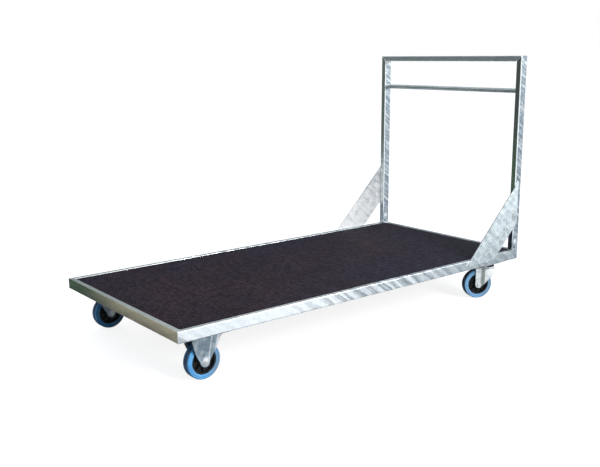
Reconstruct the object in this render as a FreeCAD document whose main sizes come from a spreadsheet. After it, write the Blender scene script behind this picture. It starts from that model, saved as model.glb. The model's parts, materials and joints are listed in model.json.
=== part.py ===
"""Stage deck dolly: a galvanised tube frame with a flush deck board and a push frame on four casters.

Millimetres, +Z up. The origin lies on the floor under the middle of the deck frame. +X points to the
end with the push frame and the swivel casters, -Y is the left side of a person who pushes there.
"""
import FreeCAD
import Part
import os
import re

import Sketcher

SIZES = {
    # Deck frame of rectangular tube
    "deck_length": 2170,
    "deck_width": 1040,
    "tube_depth": 50,
    "tube_width": 25,
    "tube_wall": 2,
    "tube_corner": 3,
    # Deck board, lying between the rails on cross bearers
    "board_thickness": 18,
    "board_recess": 2,
    "board_gap": 1.5,
    "bearer_width": 30,
    "bearer_wall": 2,
    "mid_bearer_offset": 280,
    "screw_diameter": 6,
    "screw_head": 12,
    "screw_head_height": 4,
    "screw_cover": 6,
    "screw_tip_gap": 1,
    "screw_pad_gap": 60,
    # Push frame at the rear end
    "handle_rise": 1053,
    "handle_width": 30,
    "push_bar_diameter": 25,
    "push_bar_wall": 2.6,
    "push_bar_drop": 184,
    "vent_diameter": 9,
    "vent_inset": 31,
    "vent_rise": 17,
    # Gusset plates outside the corners of deck and push frame
    "gusset_thickness": 5,
    "gusset_outer": 409,
    "gusset_inner": 182,
    "gusset_lap": 25,
    "gusset_tip_radius": 4,
    # Caster places and mounting
    "caster_inset_x": 160,
    "caster_inset_y": 88,
    "pad_thickness": 10,
    "pad_margin": 30,
    "pad_side": 10,
    "plate_length": 140,
    "plate_width": 110,
    "plate_thickness": 6,
    "bolt_edge_x": 17.5,
    "bolt_leg_gap": 3.5,
    "bolt_diameter": 10,
    "bolt_flats": 17,
    "bolt_head": 6.4,
    "bolt_tail": 3,
    "nut_height": 8,
    "washer_diameter": 20,
    "washer_thickness": 2,
    # Wheel on a roller bearing
    "wheel_diameter": 160,
    "tyre_width": 43,
    "tyre_depth": 22,
    "tyre_shoulder": 4,
    "rim_width": 37,
    "rim_thickness": 7,
    "web_thickness": 12,
    "rib_thickness": 5,
    "rib_recess": 4,
    "hub_length": 46,
    "hub_wall": 8,
    "hub_play": 1,
    "roller_diameter": 6,
    "roller_length": 38,
    "sleeve_diameter": 20,
    "axle_diameter": 12,
    "axle_flats": 19,
    "axle_head": 6.5,
    "axle_nut": 10,
    "axle_tail": 3,
    # Pressed legs of both kinds of caster
    "leg_thickness": 4,
    "boss_radius": 22.5,
    "panel_rise": 2,
    "flare_rise": 24,
    # Swivel head and fork
    "wheel_headroom": 12,
    "crown_diameter": 92,
    "crown_thickness": 6,
    "race_gap": 6,
    "race_height": 10,
    "race_diameter": 82,
    "ball_diameter": 10,
    "ball_circle": 58,
    "seal_height": 9,
    "seal_gap": 0.5,
    "king_pin_diameter": 16,
    "king_foot_diameter": 30,
    "king_foot_height": 9,
    "king_gap": 0.3,
    "swivel_trail": 50,
    "fork_boss_radius": 18,
    "fork_front": 42,
    "fork_knee_forward": 75,
    "fork_knee_rise": 46,
    "fork_shin_forward": 56,
    "fork_shin_rise": 29,
    "swivel_angle_left": -26,
    "swivel_angle_right": -20,
    # Clearances
    "running_clearance": 0.05,
    "bolt_clearance": 0.5,
}

DERIVED = {
    "wheel_radius": "wheel_diameter / 2",
    "crown_bottom": "wheel_diameter + wheel_headroom",
    "crown_top": "crown_bottom + crown_thickness",
    "race_bottom": "crown_top + race_gap",
    "ball_level": "crown_top + race_gap / 2",
    "plate_bottom": "race_bottom + race_height",
    "caster_top": "plate_bottom + plate_thickness",
    "rail_bottom": "caster_top + pad_thickness",
    "deck_top": "rail_bottom + tube_depth",
    "handle_top": "deck_top + handle_rise",
    "board_top": "deck_top - board_recess",
    "bearer_height": "tube_depth - board_recess - board_thickness",
    "inner_width": "deck_width - 2 * tube_width",
    "handle_inner": "deck_width - 2 * handle_width",
    "rail_length": "deck_length - tube_depth",
    "upright_length": "tube_depth + handle_rise",
    "caster_x": "deck_length / 2 - caster_inset_x",
    "caster_y": "deck_width / 2 - caster_inset_y",
    "screw_row": "caster_y - plate_width / 2 - pad_side - screw_pad_gap",
    "screw_hole": "screw_diameter / 2 + running_clearance",
    "screw_depth": "board_thickness - screw_cover",
    "bearer_offset": "plate_length / 2 + pad_margin - bearer_width / 2",
    "bolt_corner": "bolt_flats / sqrt(3)",
    "bolt_x": "plate_length / 2 - bolt_edge_x",
    "bolt_y": "plate_width / 2 - leg_thickness - bolt_leg_gap - bolt_corner",
    "bolt_hole": "bolt_diameter / 2 + bolt_clearance",
    "core_radius": "wheel_radius - tyre_depth",
    "sleeve_radius": "sleeve_diameter / 2",
    "roller_circle": "sleeve_radius + roller_diameter / 2 + running_clearance",
    "bore_radius": "sleeve_radius + roller_diameter + 2 * running_clearance",
    "hub_radius": "bore_radius + hub_wall",
    "leg_gap": "hub_length / 2 + hub_play",
    "leg_outer": "leg_gap + leg_thickness",
    "leg_face": "leg_outer + panel_rise",
    "leg_foot": "-boss_radius - leg_thickness",
    "axle_hole": "axle_diameter / 2 + running_clearance",
    "bracket_top": "caster_top - wheel_radius",
    "bracket_web": "plate_bottom - wheel_radius",
    "fork_top": "crown_top - wheel_radius",
    "fork_web": "crown_bottom - wheel_radius",
    "king_bore": "king_pin_diameter / 2 + running_clearance",
}

SCREWS_ACROSS = 4
ROLLER_COUNT = 10
BALL_COUNT = 14
RIB_COUNT = 8
SIDES = (("left", -1), ("right", 1))
BOTH_WAYS = (-1, 1)

DOC = FreeCAD.newDocument("stage_deck_dolly")
SHEET = DOC.addObject("Spreadsheet::Sheet", "Sizes")
NODES = []


def fill_sheet():
    """One row for each driving size: its name, its number and its alias."""
    for row, (name, number) in enumerate(SIZES.items(), start=1):
        SHEET.set(f"A{row}", name)
        SHEET.set(f"B{row}", str(number))
        SHEET.setAlias(f"B{row}", name)
    DOC.recompute()


def formula(text):
    """Turn size names into references to the sheet and derived names into their own formulas."""
    def swap(match):
        word = match.group(0)
        if word in DERIVED:
            return "(" + formula(DERIVED[word]) + ")"
        return "Sizes." + word if word in SIZES else word
    return re.sub(r"[a-z][a-z_]+", swap, str(text))


def measure(text):
    """The number that a formula gives now."""
    return float(SHEET.evalExpression(formula(text)))


def bind(item, name, text):
    item.setExpression(name, formula(text))


def place(item, x=0, y=0, z=0, turn=None):
    """Bind an object's place, and its turn about Z, to formulas."""
    for axis, text in (("x", x), ("y", y), ("z", z)):
        bind(item, f"Placement.Base.{axis}", text)
    if turn is not None:
        bind(item, "Placement.Rotation.Angle", turn)
    return item


def lay_along_y(item):
    """Turn a primitive's own axis from Z to Y."""
    item.Placement.Rotation = FreeCAD.Rotation(FreeCAD.Vector(1, 0, 0), -90)
    return item


def node(item, label):
    """Register a finished sub-part under its own label."""
    item.Label = label
    NODES.append(item)
    return item


# Sketches and features


def new_body(name):
    return DOC.addObject("PartDesign::Body", name)


def new_sketch(body, name, role):
    sketch = body.newObject("Sketcher::SketchObject", name)
    plane = next(item for item in body.Origin.OriginFeatures if item.Role == role)
    sketch.AttachmentSupport = [(plane, "")]
    sketch.MapMode = "FlatFace"
    return sketch


def constrain(sketch, constraint, text):
    index = sketch.addConstraint(constraint)
    bind(sketch, f"Constraints[{index}]", text)


def pin_point(sketch, shape, vertex, across, up):
    for kind, text in (("DistanceX", across), ("DistanceY", up)):
        constrain(sketch, Sketcher.Constraint(kind, -1, 1, shape, vertex, measure(text)), text)


def polygon(sketch, corners):
    """A closed outline whose corners are pairs of formulas."""
    points = [FreeCAD.Vector(measure(across), measure(up), 0) for across, up in corners]
    first = sketch.GeometryCount
    count = len(points)
    for start, end in zip(points, points[1:] + points[:1]):
        sketch.addGeometry(Part.LineSegment(start, end))
    for i in range(count):
        follower = first + (i + 1) % count
        sketch.addConstraint(Sketcher.Constraint("Coincident", first + i, 2, follower, 1))
    for i, (across, up) in enumerate(corners):
        pin_point(sketch, first + i, 1, across, up)


def rectangle(sketch, half_across, half_up):
    polygon(sketch, [(f"{a} * ({half_across})", f"{b} * ({half_up})")
                     for a, b in ((-1, -1), (1, -1), (1, 1), (-1, 1))])


def circle(sketch, across, up, radius):
    centre = FreeCAD.Vector(measure(across), measure(up), 0)
    index = sketch.addGeometry(Part.Circle(centre, FreeCAD.Vector(0, 0, 1), measure(radius)))
    pin_point(sketch, index, 3, across, up)
    constrain(sketch, Sketcher.Constraint("Radius", index, measure(radius)), radius)


def pad(body, sketch, length, symmetric=True, downward=False):
    feature = body.newObject("PartDesign::Pad", sketch.Name + "_pad")
    feature.Profile = sketch
    bind(feature, "Length", length)
    feature.SideType = "Symmetric" if symmetric else "One side"
    feature.Reversed = downward
    return feature


def pocket(body, sketch, depth=None, reverse=False):
    """Cut right through both ways, or to a depth on one side of the sketch."""
    feature = body.newObject("PartDesign::Pocket", sketch.Name + "_cut")
    feature.Profile = sketch
    if depth is None:
        feature.Type = "ThroughAll"
        feature.SideType = "Symmetric"
    else:
        bind(feature, "Length", depth)
        feature.Reversed = reverse
    return feature


def revolve(body, sketch, axis, kind="PartDesign::Revolution"):
    feature = body.newObject(kind, sketch.Name + "_turn")
    feature.Profile = sketch
    feature.ReferenceAxis = (sketch, [axis])
    feature.Angle = 360
    return feature


def fillet(body, base, edges, radius):
    names = [f"Edge{i}" for i, edge in enumerate(base.Shape.Edges, start=1) if edges(edge)]
    feature = body.newObject("PartDesign::Fillet", base.Name + "_round")
    feature.Base = (base, names)
    bind(feature, "Radius", radius)
    return feature


# Solids made of primitives


def primitive(kind, **lengths):
    item = DOC.addObject("Part::" + kind, kind.lower())
    for name, text in lengths.items():
        bind(item, name, text)
    return item


def hex_prism(flats, height):
    item = primitive("Prism", Circumradius=f"({flats}) / sqrt(3)", Height=height)
    item.Polygon = 6
    return item


def join(kind, base, tool):
    item = DOC.addObject("Part::" + kind, kind.lower())
    item.Base = base
    item.Tool = tool
    return item


def group(items):
    item = DOC.addObject("Part::Compound", "group")
    item.Links = items
    return item


def bolt(flats, head, diameter, length):
    """Hexagon head bolt with its seat at the origin and its shank along +Z."""
    crown = place(hex_prism(flats, head), z=f"-({head})")
    shank = primitive("Cylinder", Radius=f"({diameter}) / 2", Height=length)
    return join("Fuse", crown, shank)


def nut(flats, height, diameter):
    bore = primitive("Cylinder", Radius=f"({diameter}) / 2 + running_clearance", Height=height)
    return join("Cut", hex_prism(flats, height), bore)


def washer(outer, thickness, hole):
    disc = primitive("Cylinder", Radius=f"({outer}) / 2", Height=thickness)
    bore = primitive("Cylinder", Radius=hole, Height=thickness)
    return join("Cut", disc, bore)


# Deck frame


def tube(name, role, half_across, half_up, wall, length, symmetric=True):
    """Rectangular tube with rounded outer corners, drawn square to one of the origin planes."""
    body = new_body(name)
    section = new_sketch(body, name + "_section", role)
    rectangle(section, half_across, half_up)
    rectangle(section, f"{half_across} - {wall}", f"{half_up} - {wall}")
    run = pad(body, section, length, symmetric)
    DOC.recompute()
    reach = measure(length)
    outer = measure(f"sqrt(({half_across})^2 + ({half_up})^2)")

    def outer_long_edge(edge):
        if abs(edge.Length - reach) > 1e-6:
            return False
        middle = edge.CenterOfMass - run.Shape.CenterOfMass
        return abs(middle.Length - outer) < 1e-3
    fillet(body, run, outer_long_edge, "tube_corner")
    return body


def mitre(body, name, role, corners):
    sketch = new_sketch(body, name, role)
    polygon(sketch, corners)
    pocket(body, sketch)


def long_rail(side, sign):
    body = tube(f"rail_{side}", "YZ_Plane", "tube_width / 2", "tube_depth / 2", "tube_wall", "rail_length")
    outer = f"{sign} * 1.5 * tube_width"
    inner = f"{-sign} * 1.5 * tube_width"
    past_end = "-rail_length / 2 - tube_width"
    mitre(body, f"rail_{side}_mitre", "XY_Plane",
          [(past_end, outer), ("-rail_length / 2 + 2 * tube_width", inner), (past_end, inner)])
    place(body, "-tube_depth / 2", f"{sign} * (deck_width - tube_width) / 2", "rail_bottom + tube_depth / 2")
    node(body, f"long_rail_{side}")


def front_rail():
    body = tube("front", "XZ_Plane", "tube_width / 2", "tube_depth / 2", "tube_wall", "deck_width")
    for side, sign in SIDES:
        past_end = f"{sign} * (deck_width / 2 + tube_width)"
        mitre(body, f"front_mitre_{side}", "XY_Plane",
              [("-1.5 * tube_width", past_end),
               ("1.5 * tube_width", f"{sign} * (deck_width / 2 - 2 * tube_width)"),
               ("1.5 * tube_width", past_end)])
    place(body, "-deck_length / 2 + tube_width / 2", 0, "rail_bottom + tube_depth / 2")
    node(body, "front_rail")


def rear_rail():
    body = tube("rear", "XZ_Plane", "tube_width / 2", "tube_depth / 2", "tube_wall", "handle_inner")
    place(body, "deck_length / 2 - tube_width / 2", 0, "rail_bottom + tube_depth / 2")
    node(body, "rear_rail")


def screw_rows():
    """Places across the deck, evenly spread between the caster pads."""
    return [f"{2 * i / (SCREWS_ACROSS - 1) - 1} * screw_row" for i in range(SCREWS_ACROSS)]


def bearer_places():
    """Distances of the cross bearers from the middle, from the front end to the rear."""
    half = ["caster_x + bearer_offset", "caster_x - bearer_offset", "mid_bearer_offset"]
    return [f"-({text})" for text in half] + half[::-1]


def cross_bearer(index, x):
    body = tube(f"bearer_{index}", "XZ_Plane", "bearer_width / 2", "bearer_height / 2", "bearer_wall",
                "inner_width")
    holes = new_sketch(body, f"bearer_{index}_holes", "XY_Plane")
    for y in screw_rows():
        circle(holes, 0, y, "screw_hole")
    pocket(body, holes)
    place(body, x, 0, "rail_bottom + bearer_height / 2")
    node(body, f"cross_bearer_{index}")


def deck_board():
    """Board notched round the uprights, with blind screw holes from below, so that its top is unbroken."""
    body = new_body("board")
    outline = new_sketch(body, "board_outline", "XY_Plane")
    rectangle(outline, "deck_length / 2 - tube_width - board_gap", "inner_width / 2 - board_gap")
    pad(body, outline, "board_thickness", symmetric=False)
    notches = new_sketch(body, "board_notches", "XY_Plane")
    for _, sign in SIDES:
        near, far = "deck_length / 2 - tube_depth - board_gap", "deck_length / 2"
        inner, outer = f"{sign} * (handle_inner / 2 - board_gap)", f"{sign} * deck_width / 2"
        polygon(notches, [(near, inner), (far, inner), (far, outer), (near, outer)])
    pocket(body, notches)
    holes = new_sketch(body, "board_holes", "XY_Plane")
    for x in bearer_places():
        for y in screw_rows():
            circle(holes, x, y, "screw_hole")
    pocket(body, holes, "screw_depth + screw_tip_gap", reverse=True)
    place(body, 0, 0, "board_top - board_thickness")
    node(body, "deck_board")


def deck_screws():
    """Screws up through the bearers, each its own solid, at every crossing of bearer and screw row."""
    body = new_body("screws")
    heads = new_sketch(body, "screw_heads", "XY_Plane")
    shanks = new_sketch(body, "screw_shanks", "XY_Plane")
    for x in bearer_places():
        for y in screw_rows():
            circle(heads, x, y, "screw_head / 2")
            circle(shanks, x, y, "screw_diameter / 2")
    pad(body, heads, "screw_head_height", symmetric=False, downward=True)
    pad(body, shanks, "bearer_height + screw_depth", symmetric=False)
    place(body, 0, 0, "rail_bottom")
    node(body, "deck_screws")


# Push frame


def upright(side, sign):
    name = f"upright_{side}"
    body = tube(name, "XY_Plane", "tube_depth / 2", "handle_width / 2", "tube_wall", "upright_length",
                symmetric=False)
    inner = f"{-sign} * 1.5 * handle_width"
    past_top = "upright_length + handle_width"
    mitre(body, name + "_mitre", "YZ_Plane",
          [(f"{sign} * 1.5 * handle_width", past_top), (inner, "upright_length - 2 * handle_width"),
           (inner, past_top)])
    vent = new_sketch(body, name + "_vent", "XZ_Plane")
    circle(vent, "tube_depth / 2 - vent_inset", "tube_depth + vent_rise", "vent_diameter / 2")
    pocket(body, vent, "handle_width", reverse=sign < 0)
    place(body, "deck_length / 2 - tube_depth / 2", f"{sign} * (deck_width - handle_width) / 2",
          "rail_bottom")
    node(body, name)


def top_bar():
    body = tube("top", "XZ_Plane", "tube_depth / 2", "handle_width / 2", "tube_wall", "deck_width")
    for side, sign in SIDES:
        past_end = f"{sign} * (deck_width / 2 + handle_width)"
        mitre(body, f"top_mitre_{side}", "YZ_Plane",
              [(past_end, "1.5 * handle_width"),
               (f"{sign} * (deck_width / 2 - 2 * handle_width)", "-1.5 * handle_width"),
               (past_end, "-1.5 * handle_width")])
    place(body, "deck_length / 2 - tube_depth / 2", 0, "handle_top - handle_width / 2")
    node(body, "top_bar")


def push_bar():
    body = new_body("push")
    section = new_sketch(body, "push_section", "XZ_Plane")
    circle(section, 0, 0, "push_bar_diameter / 2")
    circle(section, 0, 0, "push_bar_diameter / 2 - push_bar_wall")
    pad(body, section, "handle_inner")
    place(body, "deck_length / 2 - tube_depth / 2", 0, "handle_top - push_bar_drop")
    node(body, "push_bar")


def gusset(side, sign):
    """Diagonal plate lapped on the outside of the rail and the upright."""
    body = new_body(f"gusset_{side}")
    outline = new_sketch(body, f"gusset_{side}_outline", "XZ_Plane")
    edge = "tube_depth - gusset_lap"
    polygon(outline, [(f"-({edge})", f"gusset_inner - ({edge})"),
                      (f"-({edge})", f"gusset_outer - ({edge})"),
                      ("-gusset_outer - gusset_lap", "-gusset_lap"),
                      ("-gusset_inner - gusset_lap", "-gusset_lap")])
    plate = pad(body, outline, "gusset_thickness")
    DOC.recompute()
    tips = (FreeCAD.Vector(measure(f"-({edge})"), 0, measure(f"gusset_outer - ({edge})")),
            FreeCAD.Vector(measure("-gusset_outer - gusset_lap"), 0, measure("-gusset_lap")))

    def tip_edge(edge_shape):
        return any((edge_shape.CenterOfMass - tip).Length < 1e-3 for tip in tips)
    fillet(body, plate, tip_edge, "gusset_tip_radius")
    place(body, "deck_length / 2", f"{sign} * (deck_width + gusset_thickness) / 2", "deck_top")
    node(body, f"gusset_{side}")


# Caster mounting


def caster_spots():
    """Name, place and turn of each caster; only the rear pair swivels."""
    spots = []
    for side, sign in SIDES:
        spots.append((f"front_{side}", "-caster_x", f"{sign} * caster_y", None))
        spots.append((f"rear_{side}", "caster_x", f"{sign} * caster_y", f"swivel_angle_{side}"))
    return spots


def bolt_spots():
    return [(f"{a} * bolt_x", f"{b} * bolt_y") for a in BOTH_WAYS for b in BOTH_WAYS]


def bolt_holes(body, name):
    holes = new_sketch(body, name, "XY_Plane")
    for x, y in bolt_spots():
        circle(holes, x, y, "bolt_hole")
    pocket(body, holes)


def caster_pad(name, x, y):
    body = new_body("pad_" + name)
    outline = new_sketch(body, f"pad_{name}_outline", "XY_Plane")
    rectangle(outline, "plate_length / 2 + pad_margin", "plate_width / 2 + pad_side")
    pad(body, outline, "pad_thickness", symmetric=False)
    bolt_holes(body, f"pad_{name}_holes")
    place(body, x, y, "caster_top")
    node(body, "caster_pad_" + name)


def caster_fasteners():
    """Bolts from below through caster plate and pad, each with a washer and a nut above the pad."""
    bolts, washers, nuts = [], [], []
    length = "plate_thickness + pad_thickness + washer_thickness + nut_height + bolt_tail"
    for _, caster_x, caster_y, _ in caster_spots():
        for x, y in bolt_spots():
            spot = (f"{caster_x} + {x}", f"{caster_y} + {y}")
            bolts.append(place(bolt("bolt_flats", "bolt_head", "bolt_diameter", length), *spot, "plate_bottom"))
            ring = washer("washer_diameter", "washer_thickness", "bolt_hole")
            washers.append(place(ring, *spot, "rail_bottom"))
            nuts.append(place(nut("bolt_flats", "nut_height", "bolt_diameter"), *spot,
                              "rail_bottom + washer_thickness"))
    node(group(bolts), "caster_bolts")
    node(group(washers), "caster_washers")
    node(group(nuts), "caster_nuts")


# Wheels


def tyre(name, spot):
    body = new_body("tyre_" + name)
    section = new_sketch(body, f"tyre_{name}_section", "YZ_Plane")
    half = "tyre_width / 2"
    polygon(section, [(f"-{half}", "core_radius + running_clearance"), (half, "core_radius + running_clearance"),
                      (half, "wheel_radius"), (f"-{half}", "wheel_radius")])
    ring = revolve(body, section, "H_Axis")
    DOC.recompute()
    rim = measure("wheel_radius")

    def shoulder(edge):
        return hasattr(edge.Curve, "Radius") and abs(edge.Curve.Radius - rim) < 1e-6
    fillet(body, ring, shoulder, "tyre_shoulder")
    place(body, *spot)
    node(body, "tyre_" + name)


def wheel_core(name, spot):
    body = new_body("core_" + name)
    section = new_sketch(body, f"core_{name}_section", "YZ_Plane")
    steps = [("hub_length / 2", "bore_radius"), ("hub_length / 2", "hub_radius"),
             ("web_thickness / 2", "hub_radius"), ("web_thickness / 2", "core_radius - rim_thickness"),
             ("rim_width / 2", "core_radius - rim_thickness"), ("rim_width / 2", "core_radius")]
    polygon(section, steps + [(f"-({across})", up) for across, up in reversed(steps)])
    revolve(body, section, "H_Axis")
    rib = new_sketch(body, f"core_{name}_rib", "XZ_Plane")
    low, high = "hub_radius - hub_wall / 2", "core_radius - rim_thickness / 2"
    polygon(rib, [("-rib_thickness / 2", low), ("rib_thickness / 2", low),
                  ("rib_thickness / 2", high), ("-rib_thickness / 2", high)])
    web = pad(body, rib, "rim_width - 2 * rib_recess")
    ribs = body.newObject("PartDesign::PolarPattern", f"core_{name}_ribs")
    ribs.Originals = [web]
    ribs.Axis = (next(item for item in body.Origin.OriginFeatures if item.Role == "Y_Axis"), [""])
    ribs.Angle = 360
    ribs.Occurrences = RIB_COUNT
    body.Tip = ribs
    place(body, *spot)
    node(body, "wheel_core_" + name)


def wheel_rollers(name, spot):
    rollers = []
    for i in range(ROLLER_COUNT):
        item = lay_along_y(primitive("Cylinder", Radius="roller_diameter / 2", Height="roller_length"))
        angle = 360 / ROLLER_COUNT * i
        rollers.append(place(item, f"roller_circle * cos({angle})", "-roller_length / 2",
                             f"roller_circle * sin({angle})"))
    node(place(group(rollers), *spot), "bearing_rollers_" + name)


def axle_sleeve(name, spot):
    body = new_body("sleeve_" + name)
    section = new_sketch(body, f"sleeve_{name}_section", "XZ_Plane")
    circle(section, 0, 0, "sleeve_radius")
    circle(section, 0, 0, "axle_hole")
    pad(body, section, "2 * leg_gap")
    place(body, *spot)
    node(body, "axle_sleeve_" + name)


def axle_parts():
    """Axle bolt with its seat on the left leg and the nut for the right leg, about the wheel's centre."""
    length = "2 * leg_face + axle_nut + axle_tail"
    shaft = place(lay_along_y(bolt("axle_flats", "axle_head", "axle_diameter", length)), y="-leg_face")
    end = place(lay_along_y(nut("axle_flats", "axle_nut", "axle_diameter")), y="leg_face")
    return shaft, end


# Caster brackets and forks, drawn about the middle of the axle


def mirrored_pair(sketch, corners):
    """The same outline on both sides of the upright axis."""
    for sign in BOTH_WAYS:
        polygon(sketch, [(f"{sign} * ({across})", up) for across, up in corners])


def leg_outline(name, corners, end_radius):
    """Side view of both legs: the given corners, a round end and the axle hole."""
    body = new_body(name)
    outline = new_sketch(body, name + "_side", "XZ_Plane")
    polygon(outline, corners)
    reach = "2 * plate_width"
    pad(body, outline, reach)
    boss = new_sketch(body, name + "_boss", "XZ_Plane")
    circle(boss, 0, 0, end_radius)
    pad(body, boss, reach)
    hole = new_sketch(body, name + "_hole", "XZ_Plane")
    circle(hole, 0, 0, "axle_hole")
    pocket(body, hole)
    return body


def fixed_bracket(name, spot):
    channel = new_body("channel_" + name)
    section = new_sketch(channel, f"channel_{name}_section", "YZ_Plane")
    half = [("plate_width / 2", "bracket_top"), ("plate_width / 2", "bracket_web"),
            ("leg_outer", "flare_rise"), ("leg_outer", "leg_foot"), ("leg_gap", "leg_foot"),
            ("leg_gap", "flare_rise"), ("plate_width / 2 - leg_thickness", "bracket_web")]
    polygon(section, half + [(f"-({across})", up) for across, up in reversed(half)])
    pad(channel, section, "plate_length")
    panels = new_sketch(channel, f"channel_{name}_panels", "YZ_Plane")
    mirrored_pair(panels, [("plate_width / 2 + panel_rise", "bracket_web"), ("leg_face", "flare_rise"),
                           ("leg_face", "leg_foot"), ("leg_gap", "leg_foot"), ("leg_gap", "flare_rise"),
                           ("plate_width / 2 - leg_thickness", "bracket_web")])
    pad(channel, panels, "2 * boss_radius")
    bolt_holes(channel, f"channel_{name}_holes")
    end = "plate_length / 2"
    outline = leg_outline("outline_" + name, [
        (f"-{end}", "bracket_top"), (end, "bracket_top"), (end, "bracket_web"), ("boss_radius", 0),
        ("-boss_radius", 0), (f"-{end}", "bracket_web")], "boss_radius")
    node(place(join("Common", channel, outline), *spot), "fixed_bracket_" + name)


def swivel_fork(name, spot):
    channel = new_body("channel_" + name)
    section = new_sketch(channel, f"channel_{name}_section", "YZ_Plane")
    half = [("leg_outer", "fork_top"), ("leg_outer", "leg_foot"), ("leg_gap", "leg_foot"),
            ("leg_gap", "fork_web")]
    polygon(section, half + [(f"-({across})", up) for across, up in reversed(half)])
    pad(channel, section, "2 * (swivel_trail + fork_front + fork_boss_radius)")
    panels = new_sketch(channel, f"channel_{name}_panels", "YZ_Plane")
    mirrored_pair(panels, [("leg_face", "fork_web"), ("leg_face", "leg_foot"), ("leg_gap", "leg_foot"),
                           ("leg_gap", "fork_web")])
    pad(channel, panels, "2 * fork_boss_radius")
    front = "swivel_trail + fork_front"
    outline = leg_outline("outline_" + name, [
        ("-fork_boss_radius", "fork_top"), (front, "fork_top"), (front, "fork_web"),
        ("fork_knee_forward", "fork_knee_rise"), ("fork_shin_forward", "fork_shin_rise"),
        ("fork_boss_radius * cos(45)", "-fork_boss_radius * sin(45)"), ("-fork_boss_radius", 0)],
        "fork_boss_radius")
    legs = join("Common", channel, outline)
    crown = primitive("Cylinder", Radius="crown_diameter / 2", Height="crown_thickness")
    place(crown, "swivel_trail", 0, "fork_web")
    bore = primitive("Cylinder", Radius="king_bore", Height="2 * crown_thickness")
    place(bore, "swivel_trail", 0, "fork_web - crown_thickness / 2")
    groove = primitive("Torus", Radius1="ball_circle / 2", Radius2="ball_diameter / 2 + running_clearance")
    place(groove, "swivel_trail", 0, "ball_level - wheel_radius")
    fork = join("Cut", join("Cut", join("Fuse", legs, crown), bore), groove)
    node(place(fork, *spot), "swivel_fork_" + name)


def swivel_plate(name, x, y):
    """Top plate with the upper ball race below it."""
    body = new_body("plate_" + name)
    outline = new_sketch(body, f"plate_{name}_outline", "XY_Plane")
    rectangle(outline, "plate_length / 2", "plate_width / 2")
    pad(body, outline, "plate_thickness", symmetric=False)
    race = new_sketch(body, f"plate_{name}_race", "XY_Plane")
    circle(race, 0, 0, "race_diameter / 2")
    pad(body, race, "race_height", symmetric=False, downward=True)
    bore = new_sketch(body, f"plate_{name}_bore", "XY_Plane")
    circle(bore, 0, 0, "king_bore")
    pocket(body, bore)
    groove = new_sketch(body, f"plate_{name}_groove", "XZ_Plane")
    circle(groove, "ball_circle / 2", "ball_level - plate_bottom", "ball_diameter / 2 + running_clearance")
    revolve(body, groove, "V_Axis", "PartDesign::Groove")
    bolt_holes(body, f"plate_{name}_holes")
    place(body, x, y, "plate_bottom")
    node(body, "swivel_plate_" + name)


def swivel_seal(name, x, y):
    body = new_body("seal_" + name)
    section = new_sketch(body, f"seal_{name}_section", "XY_Plane")
    circle(section, 0, 0, "crown_diameter / 2")
    circle(section, 0, 0, "race_diameter / 2 + running_clearance")
    pad(body, section, "seal_height", symmetric=False)
    place(body, x, y, "crown_top + seal_gap")
    node(body, "swivel_seal_" + name)


def swivel_balls(name, x, y, turn):
    balls = []
    for i in range(BALL_COUNT):
        item = primitive("Sphere", Radius="ball_diameter / 2")
        angle = 360 / BALL_COUNT * i
        balls.append(place(item, f"ball_circle / 2 * cos({angle})", f"ball_circle / 2 * sin({angle})"))
    node(place(group(balls), x, y, "ball_level", turn), "swivel_balls_" + name)


def king_pin(name, x, y):
    body = new_body("king_" + name)
    section = new_sketch(body, f"king_{name}_section", "XZ_Plane")
    shoulder = "crown_bottom - king_gap"
    foot = f"{shoulder} - king_foot_height"
    polygon(section, [(0, foot), ("king_foot_diameter / 2", foot), ("king_foot_diameter / 2", shoulder),
                      ("king_pin_diameter / 2", shoulder), ("king_pin_diameter / 2", "caster_top"),
                      (0, "caster_top")])
    revolve(body, section, "V_Axis")
    place(body, x, y, 0)
    node(body, "king_pin_" + name)


def casters():
    fixed_bolts, fixed_nuts = [], []
    for name, x, y, turn in caster_spots():
        caster_pad(name, x, y)
        swivels = turn is not None
        spot = (x, y, "wheel_radius", turn)
        if swivels:
            spot = (f"{x} - swivel_trail * cos({turn})", f"{y} - swivel_trail * sin({turn})",
                    "wheel_radius", turn)
            swivel_plate(name, x, y)
            swivel_seal(name, x, y)
            swivel_balls(name, x, y, turn)
            king_pin(name, x, y)
            swivel_fork(name, spot)
        else:
            fixed_bracket(name, spot)
        tyre(name, spot)
        wheel_core(name, spot)
        wheel_rollers(name, spot)
        axle_sleeve(name, spot)
        shaft, end = (place(group([item]), *spot) for item in axle_parts())
        if swivels:
            node(shaft, "axle_bolt_" + name)
            node(end, "axle_nut_" + name)
        else:
            fixed_bolts.append(shaft)
            fixed_nuts.append(end)
    node(group(fixed_bolts), "axle_bolts_front")
    node(group(fixed_nuts), "axle_nuts_front")


def check_model():
    DOC.recompute()
    for item in DOC.Objects:
        if "Invalid" in item.State or "Error" in item.State:
            raise RuntimeError(f"{item.Label}: {item.State}")
    for item in NODES:
        if item.Shape.isNull() or not item.Shape.isValid():
            raise RuntimeError(f"{item.Label}: no valid shape")


def write_parts():
    os.makedirs("parts", exist_ok=True)
    for item in NODES:
        item.Shape.exportStep(f"parts/{item.Label}.step")


def main():
    fill_sheet()
    for side, sign in SIDES:
        long_rail(side, sign)
        upright(side, sign)
        gusset(side, sign)
    front_rail()
    rear_rail()
    for index, x in enumerate(bearer_places(), start=1):
        cross_bearer(index, x)
    deck_board()
    deck_screws()
    top_bar()
    push_bar()
    casters()
    caster_fasteners()
    check_model()
    write_parts()


main()
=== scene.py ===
import json
import math

import bmesh
import bpy
from mathutils import Matrix, Vector

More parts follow.
